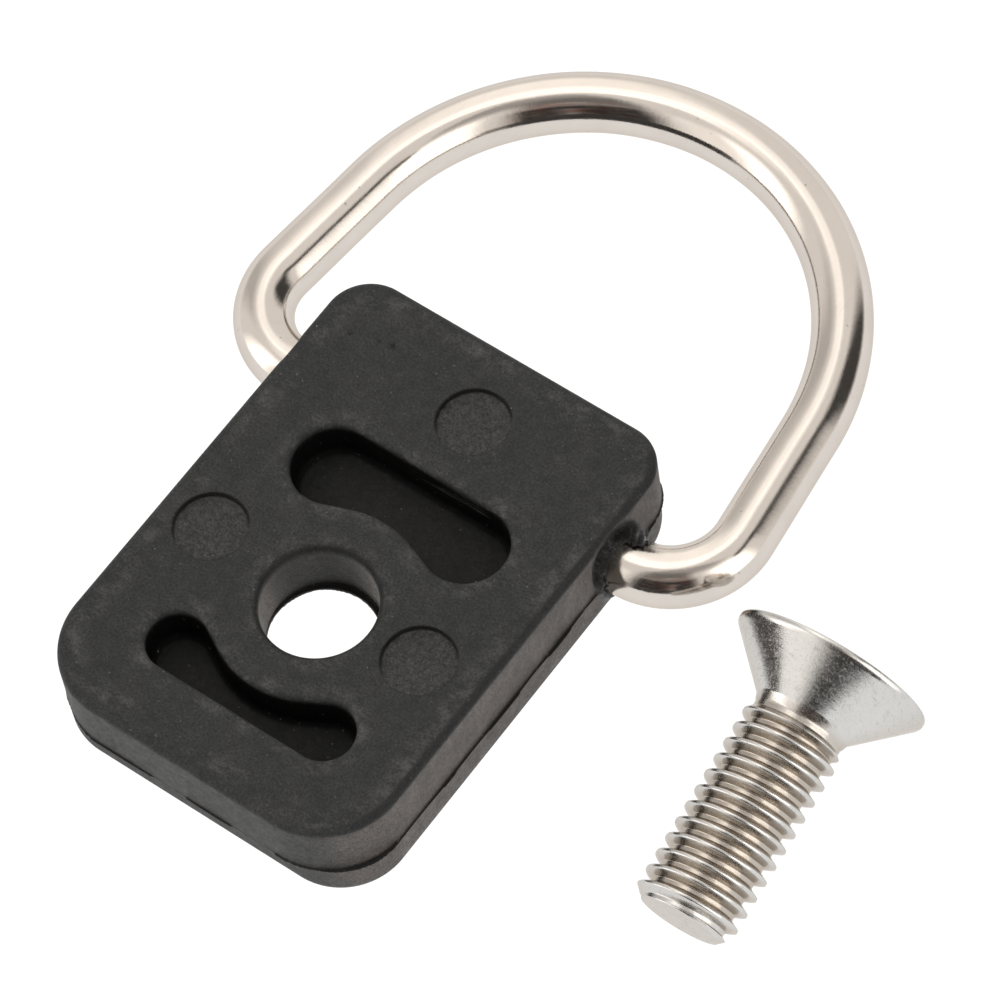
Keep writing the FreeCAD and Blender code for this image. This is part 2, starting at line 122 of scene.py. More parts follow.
# Ring, in millimetres and degrees: a straight bar, two bends, two leaning legs and a round crown
BAR = np.array(named(frame["joints"], "ring_swing")["pos_m"]) / MM
WIRE_RADIUS = 1.75
BAR_HALF = 11.45
BEND_RADIUS = 4.45
LEG_LEAN = 6.2
LEG_LENGTH = 7.35
RING_STEP = 0.3  # from one ring of points to the next
PARTING_Z = BAR[2]  # the wire lies in the mould's parting plane

# Screw, in millimetres
SCREW_LENGTH = 16.0
HEAD_RADIUS = 5.7
HEAD_RIM = 0.35
NECK_RADIUS = 2.63
NECK_LENGTH = 0.6
THREAD_RADIUS = 2.95
THREAD_PITCH = 1.0
THREAD_DEPTH = 0.55
GROOVE_MOUTH, GROOVE_FLANK = 0.43, 0.31  # half of the groove's width at the crests, and each flank's
HEAD_HEIGHT = HEAD_RIM + HEAD_RADIUS - NECK_RADIUS
THREAD_TOP = -HEAD_HEIGHT - NECK_LENGTH
TIP_BEVEL = 0.6


# Meshes


def make_piece(name, points, faces, material, body, node):
    """A smooth mesh from points in millimetres, riding on its body and standing for its CAD node."""
    mesh = bpy.data.meshes.new(name)
    mesh.from_pydata(np.asarray(points, float) * MM, [], faces)
    mesh.shade_smooth()
    piece = bpy.data.objects.new(name, mesh)
    bpy.context.scene.collection.objects.link(piece)
    piece.data.materials.append(material)
    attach(piece, body)
    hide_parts(node)
    return piece


def apply_modifiers(piece):
    """Replaces the piece's mesh with the one its modifiers make."""
    bpy.context.view_layer.update()
    shown = piece.evaluated_get(bpy.context.evaluated_depsgraph_get())
    made = bpy.data.meshes.new_from_object(shown)
    piece.modifiers.clear()
    piece.data = made


def mesh_points(piece):
    """The piece's points, in millimetres."""
    points = np.empty(len(piece.data.vertices) * 3, np.float32)
    piece.data.vertices.foreach_get("co", points)
    return points.reshape(-1, 3) / MM


def paint(piece, marks):
    """Stores named values at the piece's points, for its material to read."""
    for name, values in marks.items():
        layer = piece.data.attributes.new(name, "FLOAT", "POINT")
        layer.data.foreach_set("value", values.astype(np.float32))


def waves(x, scale, seed, count=7):
    """A smooth random curve along x, between about -1 and 1."""
    rng = np.random.default_rng(seed)
    rate = rng.uniform(0.3, 1.6, count) / scale
    start = rng.uniform(0, 2 * math.pi, count)
    return sum(np.sin(2 * math.pi * r * x + s) for r, s in zip(rate, start)) / math.sqrt(count)


# Distances, negative inside a shape


def corner_box(x, y, low, high, corners):
    """Distance to a rectangle with one corner radius for its low-Y end and one for its high-Y end."""
    middle, half = (low + high) / 2, (high - low) / 2
    radius = np.where(y > middle[1], corners[1], corners[0])
    dx = np.abs(x - middle[0]) - half[0] + radius
    dy = np.abs(y - middle[1]) - half[1] + radius
    outside = np.hypot(np.maximum(dx, 0), np.maximum(dy, 0))
    return np.minimum(np.maximum(dx, dy), 0) + outside - radius


def slab(flat, z, low, high, round_low, round_high):
    """Distance to an outline drawn out from low to high, with a rounding at each end's edge."""
    def rounded(level, radius):
        a, b = flat + radius, level + radius
        return np.minimum(np.maximum(a, b), 0) + np.hypot(np.maximum(a, 0), np.maximum(b, 0)) - radius
    return np.maximum(rounded(low - z, round_low), rounded(z - high, round_high))


def polygon(x, y, outline):
    """Distance to a closed outline of straight steps."""
    nearest = np.full(np.shape(x), np.inf)
    inside = np.zeros(np.shape(x), bool)
    for (ax, ay), (bx, by) in zip(outline, np.roll(outline, -1, axis=0)):
        ex, ey = bx - ax, by - ay
        along = np.clip(((x - ax) * ex + (y - ay) * ey) / (ex * ex + ey * ey), 0, 1)
        nearest = np.minimum(nearest, (x - ax - along * ex) ** 2 + (y - ay - along * ey) ** 2)
        if ay != by:
            inside ^= ((ay > y) != (by > y)) & (x < ex * (y - ay) / ey + ax)
    return np.where(inside, -1, 1) * np.sqrt(nearest)


def union(a, b, soft):
    h = np.maximum(soft - np.abs(a - b), 0) / soft
    return np.minimum(a, b) - h * h * soft / 4


def carve(solid, tool, soft):
    return -union(-solid, tool, soft)


def arc(centre, radius, first, last, steps=24):
    turn = np.radians(np.linspace(first, last, steps + 1))
    return np.column_stack((centre[0] + radius * np.cos(turn), centre[1] + radius * np.sin(turn)))


def bow_outline(side, edge, lobe, half):
    """A pocket: a straight edge, a round lobe at each end, and a bend round the bore's boss."""
    x, y = half, edge - lobe
    lean = math.degrees(math.atan2(y, x) + math.acos((BOSS_RADIUS + lobe) / math.hypot(x, y)))
    right = arc((x, y), lobe, 180 + lean, 450)
    left = arc((-x, y), lobe, 90, 360 - lean)
    boss = arc((0, 0), BOSS_RADIUS, 180 - lean, lean)
    return side * np.vstack((right, left, boss))


# Block


def pocket_distance(x, y):
    return np.minimum(*(polygon(x, y, bow_outline(*pocket)) for pocket in POCKETS))


def back_distance(x, y):
    return corner_box(x, y, BACK_LOW, BACK_HIGH, BACK_CORNERS)


def front_distance(x, y):
    return corner_box(x, y, FRONT_LOW, FRONT_HIGH, FRONT_CORNERS)


def mark_distance(x, y):
    return np.minimum.reduce([np.hypot(x - mx, y - my) for mx, my in MARKS]) - MARK_RADIUS


def block_field(x, y, z):
    """Distance to the block's surface on a grid: x and y span its columns, and z its layers."""
    back, front = back_distance(x, y), front_distance(x, y)
    around = np.arctan2(y - 3, x) * 10
    solid = np.minimum(slab(back, z, PARTING_Z, 0, 0, BACK_EDGE_ROUND),
                       slab(front, z, FRONT_Z, PARTING_Z, FRONT_EDGE_ROUND, 0))
    flash = np.minimum(back, front) - FLASH_OUT * (1 + 0.5 * waves(around, 4, 3))
    solid = np.minimum(solid, np.maximum(flash, np.abs(z - PARTING_Z) - FLASH_HALF))
    groove = np.hypot(back + 0.01, z - PARTING_Z - SEAM_RISE) - SEAM_GROOVE
    solid = carve(solid, groove, 0.04)
    solid = wire_exits(solid, x, y, z)

    bore = np.hypot(x, y)
    cone = (bore - SINK_RADIUS + z - FRONT_Z) / math.sqrt(2)
    lip = np.maximum(np.abs(z - PARTING_Z) - LIP_HALF,
                     LIP_RADIUS + 0.012 * waves(np.arctan2(y, x) * 3, 3, 5) - np.hypot(x, y + LIP_SHIFT))
    hole = np.maximum(np.minimum(bore - BORE_RADIUS, cone), -lip)
    solid = carve(solid, np.maximum(hole, BORE_MOUTH_Z - 0.05 - z), BORE_RIM_ROUND * 1.17)
    solid = np.maximum(solid, -np.maximum(hole, z - BORE_MOUTH_Z - 0.05))

    pockets = slab(pocket_distance(x, y), z, -POCKET_DEPTH, 4, POCKET_FLOOR_ROUND, 0)
    solid = carve(solid, pockets, POCKET_RIM_ROUND)
    for mx, my in MARKS:
        floor = z + MARK_DEPTH + MARK_TILT * from_plus_x(x - mx, y - my) / MARK_RADIUS
        solid = carve(solid, np.maximum(np.hypot(x - mx, y - my) - MARK_RADIUS, -floor), 0.04)
    for px, py, radius in PITS:
        solid = carve(solid, np.sqrt((x - px) ** 2 + (y - py) ** 2 + z * z) - radius, 0.05)
    return solid


def scoop_reach(across, up):
    """0 at the bar's axis and 1 at the rim of the scoop in the side wall, which opens upwards."""
    tall = np.where(up > 0, SCOOP_RISE, SCOOP_FALL)
    return np.hypot((across + SCOOP_LEAN * np.maximum(up, 0)) / SCOOP_HALF, up / tall)


def wire_exits(solid, x, y, z):
    """The rubber where the bar leaves each side wall: a scoop in the wall, and a sleeve on the wire."""
    across, up = y - BAR[1], z - BAR[2]
    from_bar = np.hypot(across, up)
    scoop = (scoop_reach(across, up) - 1) * SCOOP_HALF
    deep = SCOOP_DEPTH * (1 - 0.65 * fade(up, 1.2, 3.6))
    for side, wall in ((-1, BACK_LOW[0]), (1, BACK_HIGH[0])):
        out = side * (x - wall)
        cup = scoop + 1.2 * np.abs(np.minimum(out, 0) / deep) ** 2
        solid = carve(solid, np.maximum(cup, -deep - out), 0.2)
        ragged = 0.1 * waves(np.arctan2(up, across) * WIRE_RADIUS, 1.2, 21 + side)
        sleeve = from_bar - WIRE_RADIUS - SLEEVE_WALL
        sleeve = np.maximum(sleeve, np.maximum(out - SLEEVE_OUT - ragged, -2 - out))
        solid = union(solid, sleeve, 0.7)
    solid = union(solid, scrap_distance(x, across, up), 0.15)
    past = np.clip(np.abs(x) - BACK_HIGH[0], 0, 1)
    return np.maximum(solid, WIRE_RADIUS + WIRE_GAP + 0.06 * past - from_bar)


def scrap_distance(x, across, up):
    """Distance to the crumpled scrap of rubber on top of the wire at the +X wall."""
    crumpled = np.hypot(across, up) - WIRE_RADIUS - 0.12 - 0.1 * waves(across + 1.7 * x, 0.6, 8)
    offsets = x - BACK_HIGH[0] - SCRAP_OUT, across - SCRAP_ACROSS, crumpled
    scrap = np.sqrt(sum((offset / half) ** 2 for offset, half in zip(offsets, SCRAP_SIZE))) - 1
    scrap = SCRAP_SIZE[2] * (scrap + 0.12 * waves(2 * x - across, 0.8, 9))
    return np.maximum(scrap, -up)


def block_mesh():
    """Points in millimetres and quads of the block, from its distance field."""
    low, high = BLOCK_LOW - 6 * VOXEL, BLOCK_HIGH + VOXEL * np.array((14, 6, 6))
    sizes = np.ceil((high - low) / VOXEL).astype(int) + 1
    xs, ys, zs = (low[i] + VOXEL * np.arange(sizes[i]) for i in range(3))
    x, y = (a.astype(np.float32)[:, :, None] for a in np.meshgrid(xs, ys, indexing="ij"))
    field = np.empty(sizes, np.float32)
    for first in range(0, sizes[2], 16):
        layer = zs[first:first + 16].astype(np.float32)[None, None, :]
        field[:, :, first:first + 16] = block_field(x, y, layer)
    grid = openvdb.FloatGrid(BAND)
    grid.copyFromArray(np.clip(field, -BAND, BAND))
    points, quads = grid.convertToQuads(0)
    return low + VOXEL * points, quads


def fade(value, low, high):
    """0 below low, 1 above high, and smooth between."""
    t = np.clip((value - low) / (high - low), 0, 1)
    return t * t * (3 - 2 * t)


def from_plus_x(x, y):
    """1 towards +Y and away from +X, and -1 the other way, at a unit's distance from the origin."""
    return (y - x) / math.sqrt(2)


def wall_marks(x, y, z):
    """Painted light and shade on the walls: the outer walls lighter, the +X side in the light lighter still,
    and the scoops, the top edge and the parting seam darker as shade.
    """
    outline = np.maximum(back_distance(x, y), front_distance(x, y))
    scoop = 1 - fade(scoop_reach(y - BAR[1], z - BAR[2]), 0.75, 1.2)
    scoop = scoop * fade(np.abs(x), BLOCK_HIGH[0] - 1.6, BLOCK_HIGH[0] - 1.2) * fade(-z, 0.05, 0.3)
    wall = fade(outline, -0.2, -0.05) * fade(-z, BACK_EDGE_ROUND - 0.1, BACK_EDGE_ROUND + 0.15) * (1 - scoop)
    # Painted shade: the top edge near the +X wall is painted darker.
    edge = fade(outline, -0.48, -0.34) * fade(z, -BACK_EDGE_ROUND - 0.1, -BACK_EDGE_ROUND + 0.08)
    return {"wall": wall, "scoop": scoop,
            "sunny": wall * fade(x, BLOCK_HIGH[0] - 3, BLOCK_HIGH[0] - 0.5),
            "edge": edge * fade(x, BLOCK_HIGH[0] - 2, BLOCK_HIGH[0] - 0.6),
            "seam": fade(outline, -0.4, -0.2) * (1 - fade(np.abs(z - PARTING_Z - 0.03), 0.01, 0.06))}


def bore_marks(x, y, z):
    """The bore's wall, painted lighter where light reaches it, and its rim and the lip in it, painted dark as
    shade.
    """
    across = np.hypot(x, y)
    bore = (1 - fade(across, BORE_RADIUS + 0.02, BORE_RADIUS + 0.12)) * fade(-z, 0.2, 0.45)
    # Painted light: the bore's wall is painted lighter except towards +Y and away from +X, where less light
    # reaches it.
    lit = 1 - 0.85 * fade(from_plus_x(x, y) / np.maximum(across, 1), 0.35, 0.95)
    # Painted shade: the bore's rim is painted dark.
    rim = fade(across, BORE_RADIUS - 0.1, BORE_RADIUS + 0.05) * (
        1 - fade(across, BORE_RADIUS + 0.15, BORE_RADIUS + 0.4))
    # Painted shade: the bore's wall at the lip is painted dark.
    lip = bore * (1 - fade(np.abs(z - PARTING_Z), 0.12, 0.25))
    return {"bore": bore * lit, "rim": rim * (z > -0.6),
            "lip": lip * fade(np.hypot(x, y + LIP_SHIFT), LIP_RADIUS + 0.01, LIP_RADIUS + 0.05)}


def face_marks(x, y, z):
    """The pockets, painted dark as shade, the ejector marks, with the shaded side of each mark's step, a
    painted sheen on one pocket wall, and the rubbed borders.
    """
    outline, pockets = np.maximum(back_distance(x, y), front_distance(x, y)), pocket_distance(x, y)
    pocket = fade(-z, 0.25, 0.6) * (1 - fade(pockets, 0.05, 0.3)) * (z > -POCKET_DEPTH - 0.5)
    side = pocket * fade(pockets, -0.45, -0.2)
    step = np.zeros(len(x))
    for mark_x, mark_y in MARKS:
        dx, dy = x - mark_x, y - mark_y
        shaded = fade(from_plus_x(dx, dy) / MARK_RADIUS, -0.3, 0.3)
        step += shaded * (1 - fade(np.abs(np.hypot(dx, dy) - MARK_RADIUS + 0.03), 0.04, 0.1)) * (z > -0.5)
    border = fade(outline, -2.0, -0.9) * (1 - fade(outline, -0.5, -0.3))
    rims = 1 - fade(np.minimum(pockets, np.hypot(x, y) - BORE_RADIUS), 0.4, 1.3)
    return {"pocket": pocket, "pocket_side": side, "step": step,
            "mark": (1 - fade(mark_distance(x, y), -0.1, 0.02)) * (z > -0.5),
            "glossy": side * fade(y, 9.2, 9.5) * fade(4.4 - np.abs(x), 0, 1) * fade(z, -2.0, -1.7),
            "rubs": np.maximum(border, rims) * (z > -0.3) * (1 - pocket)}


def block_marks(points):
    """Which part of the block each point is on, from 0 to 1 for each part."""
    x, y, z = points.T
    marks = wall_marks(x, y, z) | bore_marks(x, y, z) | face_marks(x, y, z)
    # Painted shade: the seam, the band at the lip and the shaded side of each mark's step are painted near
    # black, as the shade in and beside them.
    marks["seam"] = np.maximum.reduce((marks["seam"], marks.pop("lip"), marks.pop("step")))
    return marks


def make_block(material):
    points, quads = block_mesh()
    piece = make_piece("block", points, quads, material, "base", "base_block")
    thin = piece.modifiers.new("thin", "DECIMATE")
    thin.ratio = KEPT_FACES
    apply_modifiers(piece)
    paint(piece, block_marks(mesh_points(piece)))
    return piece


# Ring


def ring_path():
    """The wire's centre line in the ring's own plane, closed, with the direction along it."""
    lean = math.radians(LEG_LEAN)
    out = np.array((BAR_HALF + BEND_RADIUS * math.cos(lean), BEND_RADIUS * (1 + math.sin(lean))))
    top = out + LEG_LENGTH * np.array((-math.sin(lean), math.cos(lean)))
    crown = top[0] / math.cos(lean)
    crown_y = top[1] - crown * math.sin(lean)

    def straight(start, end):
        count = max(int(np.hypot(*(end - start)) / RING_STEP), 1)
        return start + np.linspace(0, 1, count, endpoint=False)[:, None] * (end - start)

    def bent(centre, radius, first, last):
        count = max(int(radius * math.radians(last - first) / RING_STEP), 1)
        turn = np.radians(np.linspace(first, last, count, endpoint=False))
        return np.array(centre) + radius * np.column_stack((np.cos(turn), np.sin(turn)))

    flip = np.array((-1, 1))
    right = np.array((BAR_HALF, 0.0))
    path = np.vstack((
        straight(right * flip, right),
        bent((BAR_HALF, BEND_RADIUS), BEND_RADIUS, -90, LEG_LEAN),
        straight(out, top),
        bent((0, crown_y), crown, LEG_LEAN, 180 - LEG_LEAN),
        straight(top * flip, out * flip),
        bent((-BAR_HALF, BEND_RADIUS), BEND_RADIUS, 180 - LEG_LEAN, 270),
    ))
    along = np.roll(path, -1, axis=0) - np.roll(path, 1, axis=0)
    return path, along / np.linalg.norm(along, axis=1)[:, None], crown_y + crown


def grid_faces(rows, columns, closed_rows):
    """Quads joining a grid of points, closed across its columns and, if asked, across its rows."""
    last = rows if closed_rows else rows - 1
    r, c = np.meshgrid(np.arange(last), np.arange(columns), indexing="ij")
    r2, c2 = (r + 1) % rows, (c + 1) % columns
    quads = r * columns + c, r * columns + c2, r2 * columns + c2, r2 * columns + c
    return np.stack(quads, -1).reshape(-1, 4)


def make_ring(material, around=72):
    path, along, reach = ring_path()
    _, high = box_mm("d_ring")
    raised = math.asin((high[2] - WIRE_RADIUS - BAR[2]) / reach)
    turn = np.linspace(0, 2 * math.pi, around, endpoint=False)
    sideways = np.column_stack((along[:, 1], -along[:, 0]))
    radius = WIRE_RADIUS * (1 + 0.004 * waves(np.arange(len(path)) * RING_STEP, 9, 11))
    flat = path[:, None, :] + (radius[:, None] * np.cos(turn))[:, :, None] * sideways[:, None, :]
    height = radius[:, None] * np.sin(turn)
    points = np.concatenate((flat, height[:, :, None]), -1).reshape(-1, 3)
    c, s = math.cos(raised), math.sin(raised)
    tilt = np.array(((1, 0, 0), (0, c, -s), (0, s, c)))
    points = points @ tilt.T + BAR
    faces = grid_faces(len(path), around, True)[:, ::-1]
    return make_piece("ring", points, faces, material, "ring", "d_ring")


# Screw


def thread_cut(z, turn):
    """How deep the thread is cut at a height and an angle, for a right-handed thread."""
    phase = ((z / THREAD_PITCH - turn / (2 * math.pi)) % 1) - 0.5
    flank = np.clip((GROOVE_MOUTH - np.abs(phase)) / GROOVE_FLANK, 0, 1)
    return THREAD_DEPTH * (flank * flank * (3 - 2 * flank) * 0.35 + flank * 0.65)


def screw_rows():
    """The screw's outline as radius and height, from the middle of the head down to the tip's middle."""
    face = [(r, 0.0) for r in np.linspace(0.02, HEAD_RADIUS - 0.12, 24)]
    rim = [(HEAD_RADIUS - 0.12 + 0.12 * math.sin(a), -0.12 + 0.12 * math.cos(a))
           for a in np.radians((20, 45, 70, 90))]
    rim += [(HEAD_RADIUS, -0.22),
            (HEAD_RADIUS - 0.015, -HEAD_RIM + 0.03),
            (HEAD_RADIUS - 0.05, -HEAD_RIM - 0.02)]
    cone = [(HEAD_RADIUS - d, -HEAD_RIM - d) for d in np.linspace(0.09, HEAD_RADIUS - NECK_RADIUS - 0.2, 40)]
    fillet = [(NECK_RADIUS + 0.34 * (1 - math.sin(a)), -HEAD_HEIGHT - 0.14 + 0.34 * (math.cos(a) - 0.59))
              for a in np.radians((50, 65, 80, 90))]
    neck = [(NECK_RADIUS, z) for z in np.linspace(-HEAD_HEIGHT - 0.36, THREAD_TOP + 0.02, 4)]
    thread = [(THREAD_RADIUS, z) for z in np.arange(THREAD_TOP, -SCREW_LENGTH + 0.001, -0.035)]
    tip = [(r, -SCREW_LENGTH) for r in np.linspace(THREAD_RADIUS - TIP_BEVEL - 0.05, 0.02, 16)]
    return np.array(face + rim + cone + fillet + neck + thread + tip)


def screw_surface(around):
    """The screw's points in its own frame, head's face at zero and tip below, and its quads."""
    rows = screw_rows()
    turn = np.linspace(0, 2 * math.pi, around, endpoint=False)[None, :]
    z = np.repeat(rows[:, 1:], around, axis=1)
    radius = np.repeat(rows[:, :1], around, axis=1)
    threaded = (z < THREAD_TOP + 0.001) & (radius > THREAD_RADIUS - 0.01)
    runout = np.clip((THREAD_TOP - z) / 0.6, 0, 1)
    crest = NECK_RADIUS + (THREAD_RADIUS - NECK_RADIUS) * np.clip((THREAD_TOP - z) / 0.35, 0, 1)
    cut = np.minimum(crest, THREAD_RADIUS - thread_cut(z, turn) * runout)
    bevel = THREAD_RADIUS - TIP_BEVEL + (z + SCREW_LENGTH)
    radius = np.where(threaded, np.minimum(cut, bevel), radius)
    points = np.stack((radius * np.cos(turn), radius * np.sin(turn), z), -1)
    return points.reshape(-1, 3), len(rows)


def screw_frame():
    """The loose screw's place: its axis from tip to head, and the middle of its head's face."""
    thread = named(MOUNTS, "screw_thread")
    along = -Vector(thread["axis"]).normalized()
    side = along.cross(Vector((0, 0, 1))).normalized()
    over = along.cross(side)
    head = Vector(thread["pos_m"]) / MM + along * SCREW_LENGTH
    turn = Matrix((side, over, along)).transposed().to_4x4()
    return Matrix.Translation(head) @ turn


def recess_cutter(place):
    """A tapered cross with rounded inner corners, for the head's recess."""
    def cross(reach, wing, z):
        quarter = [(reach, -wing), (reach, wing), (wing + 0.12, wing), (wing, wing + 0.12)]
        points = []
        for turn in range(4):
            c, s = [(1, 0), (0, 1), (-1, 0), (0, -1)][turn]
            points += [(c * x - s * y, s * x + c * y, z) for x, y in quarter]
        return points

    levels = [cross(3.32, 0.79, 0.3), cross(3.2, 0.75, 0.0), cross(1.4, 0.43, -2.3), cross(0.7, 0.3, -2.75)]
    count = len(levels[0])
    points = [p for level in levels for p in level]
    faces = [list(range(count))[::-1], [3 * count + i for i in range(count)]]
    for level in range(3):
        for i in range(count):
            a, b = level * count + i, level * count + (i + 1) % count
            faces.append([a, b, b + count, a + count])
    mesh = bpy.data.meshes.new("recess_cutter")
    mesh.from_pydata([(place @ Vector(p)) * MM for p in points], [], faces)
    made = bmesh.new()
    made.from_mesh(mesh)
    bmesh.ops.recalc_face_normals(made, faces=made.faces)
    made.to_mesh(mesh)
    made.free()
    return bpy.data.objects.new("recess_cutter", mesh)


def make_screw(material, around=144):
    points, rows = screw_surface(around)
    place = screw_frame()
    turned = np.array(place.to_3x3())
    points = points @ turned.T + np.array(place.translation)
    faces = [list(face)[::-1] for face in grid_faces(rows, around, False)]
    faces += [list(range(around)), [(rows - 1) * around + i for i in range(around)][::-1]]
    piece = make_piece("screw", points, faces, material, "screw", "countersunk_screw")
    cutter = recess_cutter(place)
    bpy.context.scene.collection.objects.link(cutter)
    cut = piece.modifiers.new("recess", "BOOLEAN")
    cut.operation, cut.solver, cut.object = "DIFFERENCE", "EXACT", cutter
    apply_modifiers(piece)
    bpy.data.objects.remove(cutter)
    points = (mesh_points(piece) - np.array(place.translation)) @ turned
    radius = np.hypot(points[:, 0], points[:, 1])
    threaded = points[:, 2] < -HEAD_HEIGHT
    deep = np.clip((THREAD_RADIUS - 0.04 - radius) / 0.42, 0, 1)
    paint(piece, {"groove": deep * threaded * (points[:, 2] > -SCREW_LENGTH + TIP_BEVEL)})
    return piece


# Materials


def new_material(name):
    material = bpy.data.materials.new(name)
    material.use_nodes = True
    nodes = material.node_tree.nodes
    shader = nodes["Principled BSDF"]
    place = nodes.new("ShaderNodeTexCoord").outputs["Object"]
    return material, shader, place


def link(start, end):
    end.id_data.links.new(start, end)


def noise(place, scale, detail=3.0, rough=0.55, stretch=(1, 1, 1)):
    """A noise texture's value; scale is in features per millimetre."""
    nodes = place.id_data.nodes
    mapping = nodes.new("ShaderNodeMapping")
    mapping.inputs["Scale"].default_value = [s / MM for s in stretch]
    link(place, mapping.inputs["Vector"])
    texture = nodes.new("ShaderNodeTexNoise")
    texture.inputs["Scale"].default_value = scale
    texture.inputs["Detail"].default_value = detail
    texture.inputs["Roughness"].default_value = rough
    link(mapping.outputs[0], texture.inputs["Vector"])
    return texture.outputs["Fac"]


def ramp(value, *stops):
    """A colour ramp with (position, grey or colour) stops."""
    node = value.id_data.nodes.new("ShaderNodeValToRGB")
    elements = node.color_ramp.elements
    while len(elements) < len(stops):
        elements.new(0.5)
    for element, (position, colour) in zip(elements, stops):
        element.position = position
        colour = (colour,) * 3 if isinstance(colour, (int, float)) else colour
        element.color = (*colour, 1)
    link(value, node.inputs["Fac"])
    return node.outputs["Color"]


def blend(kind, amount, a, b):
    """A colour mix; amount, a and b are sockets, numbers or colours."""
    some = next(x for x in (amount, a, b) if isinstance(x, bpy.types.NodeSocket))
    node = some.id_data.nodes.new("ShaderNodeMix")
    node.data_type, node.blend_type = "RGBA", kind
    for socket, value in ((node.inputs["Factor"], amount), (node.inputs[6], a), (node.inputs[7], b)):
        if isinstance(value, bpy.types.NodeSocket):
            link(value, socket)
        elif isinstance(value, (int, float)) and socket.type == "RGBA":
            socket.default_value = (value, value, value, 1)
        else:
            socket.default_value = (*value, 1) if socket.type == "RGBA" else value
    return node.outputs[2]


def bump(shader, height, distance, strength=1.0, before=None):
    """A bump of so many millimetres, after another bump if there is one."""
    node = height.id_data.nodes.new("ShaderNodeBump")
    node.inputs["Strength"].default_value = strength
    node.inputs["Distance"].default_value = distance * MM
    link(height, node.inputs["Height"])
    if before is not None:
        link(before, node.inputs["Normal"])
    link(node.outputs["Normal"], shader.inputs["Normal"])
    return node.outputs["Normal"]


def attribute(place, name):
    node = place.id_data.nodes.new("ShaderNodeAttribute")
    node.attribute_name = name
    return node.outputs["Fac"]


def part_of(place, part, amount=1.0):
    """Where a part of the block is, as painted at its points, times an amount."""
    where = attribute(place, part)
    return where if amount == 1.0 else blend("MULTIPLY", 1, where, amount)


def rubber_body(place):
    """The black of the rubber: mottled on the flat faces, painted lighter in patches on the walls as if lit
    from the floor, and painted lighter and browner on the +X side and in the bore, where the light falls.
    """
    mottle = noise(place, 1.1, 12, 0.85)
    colour = ramp(mottle, (0.34, (0.0130, 0.0145, 0.0153)), (0.66, (0.0325, 0.0345, 0.0353)))
    rubbed = ramp(noise(place, 0.22, 10, 0.8), (0.5, 0), (0.7, 1))
    colour = blend("MIX", blend("MULTIPLY", 1, rubbed, 0.45), colour, (0.052, 0.052, 0.051))
    rubs = ramp(noise(place, 0.7, 10, 0.8, (0.8, 1, 1)), (0.48, 0), (0.68, 1))
    colour = blend("MIX", blend("MULTIPLY", 1, rubs, attribute(place, "rubs")), colour, (0.080, 0.080, 0.079))
    # Painted light: the outer walls are painted lighter in patches, standing in for the light the floor
    # throws on them.
    patchy = ramp(noise(place, 1.6, 8, 0.8), (0.4, 0.3), (0.6, 1))
    painted_wall_light = blend("MULTIPLY", 1, attribute(place, "wall"), patchy)
    colour = blend("MIX", painted_wall_light, colour, (0.052, 0.0515, 0.0505))
    # Painted light: the +X wall is painted lighter and browner, with streaks, where the light falls on it,
    # and the bore's wall lighter still.
    painted_light_brown = ramp(noise(place, 0.5, 9, 0.75), (0.3, (0.060, 0.053, 0.048)), (0.7, (0.135, 0.121, 0.111)))
    streaks = ramp(noise(place, 1.0, 5, 0.7, (2.5, 2.5, 0.35)), (0.45, 0), (0.7, 1))
    painted_light_sides = blend("MIX", blend("MULTIPLY", 1, streaks, 0.4), painted_light_brown, (0.045, 0.041, 0.038))
    colour = blend("MIX", part_of(place, "sunny"), colour, painted_light_sides)
    return blend("MIX", part_of(place, "bore"), colour, blend("MULTIPLY", 1, painted_light_sides, 1.7))


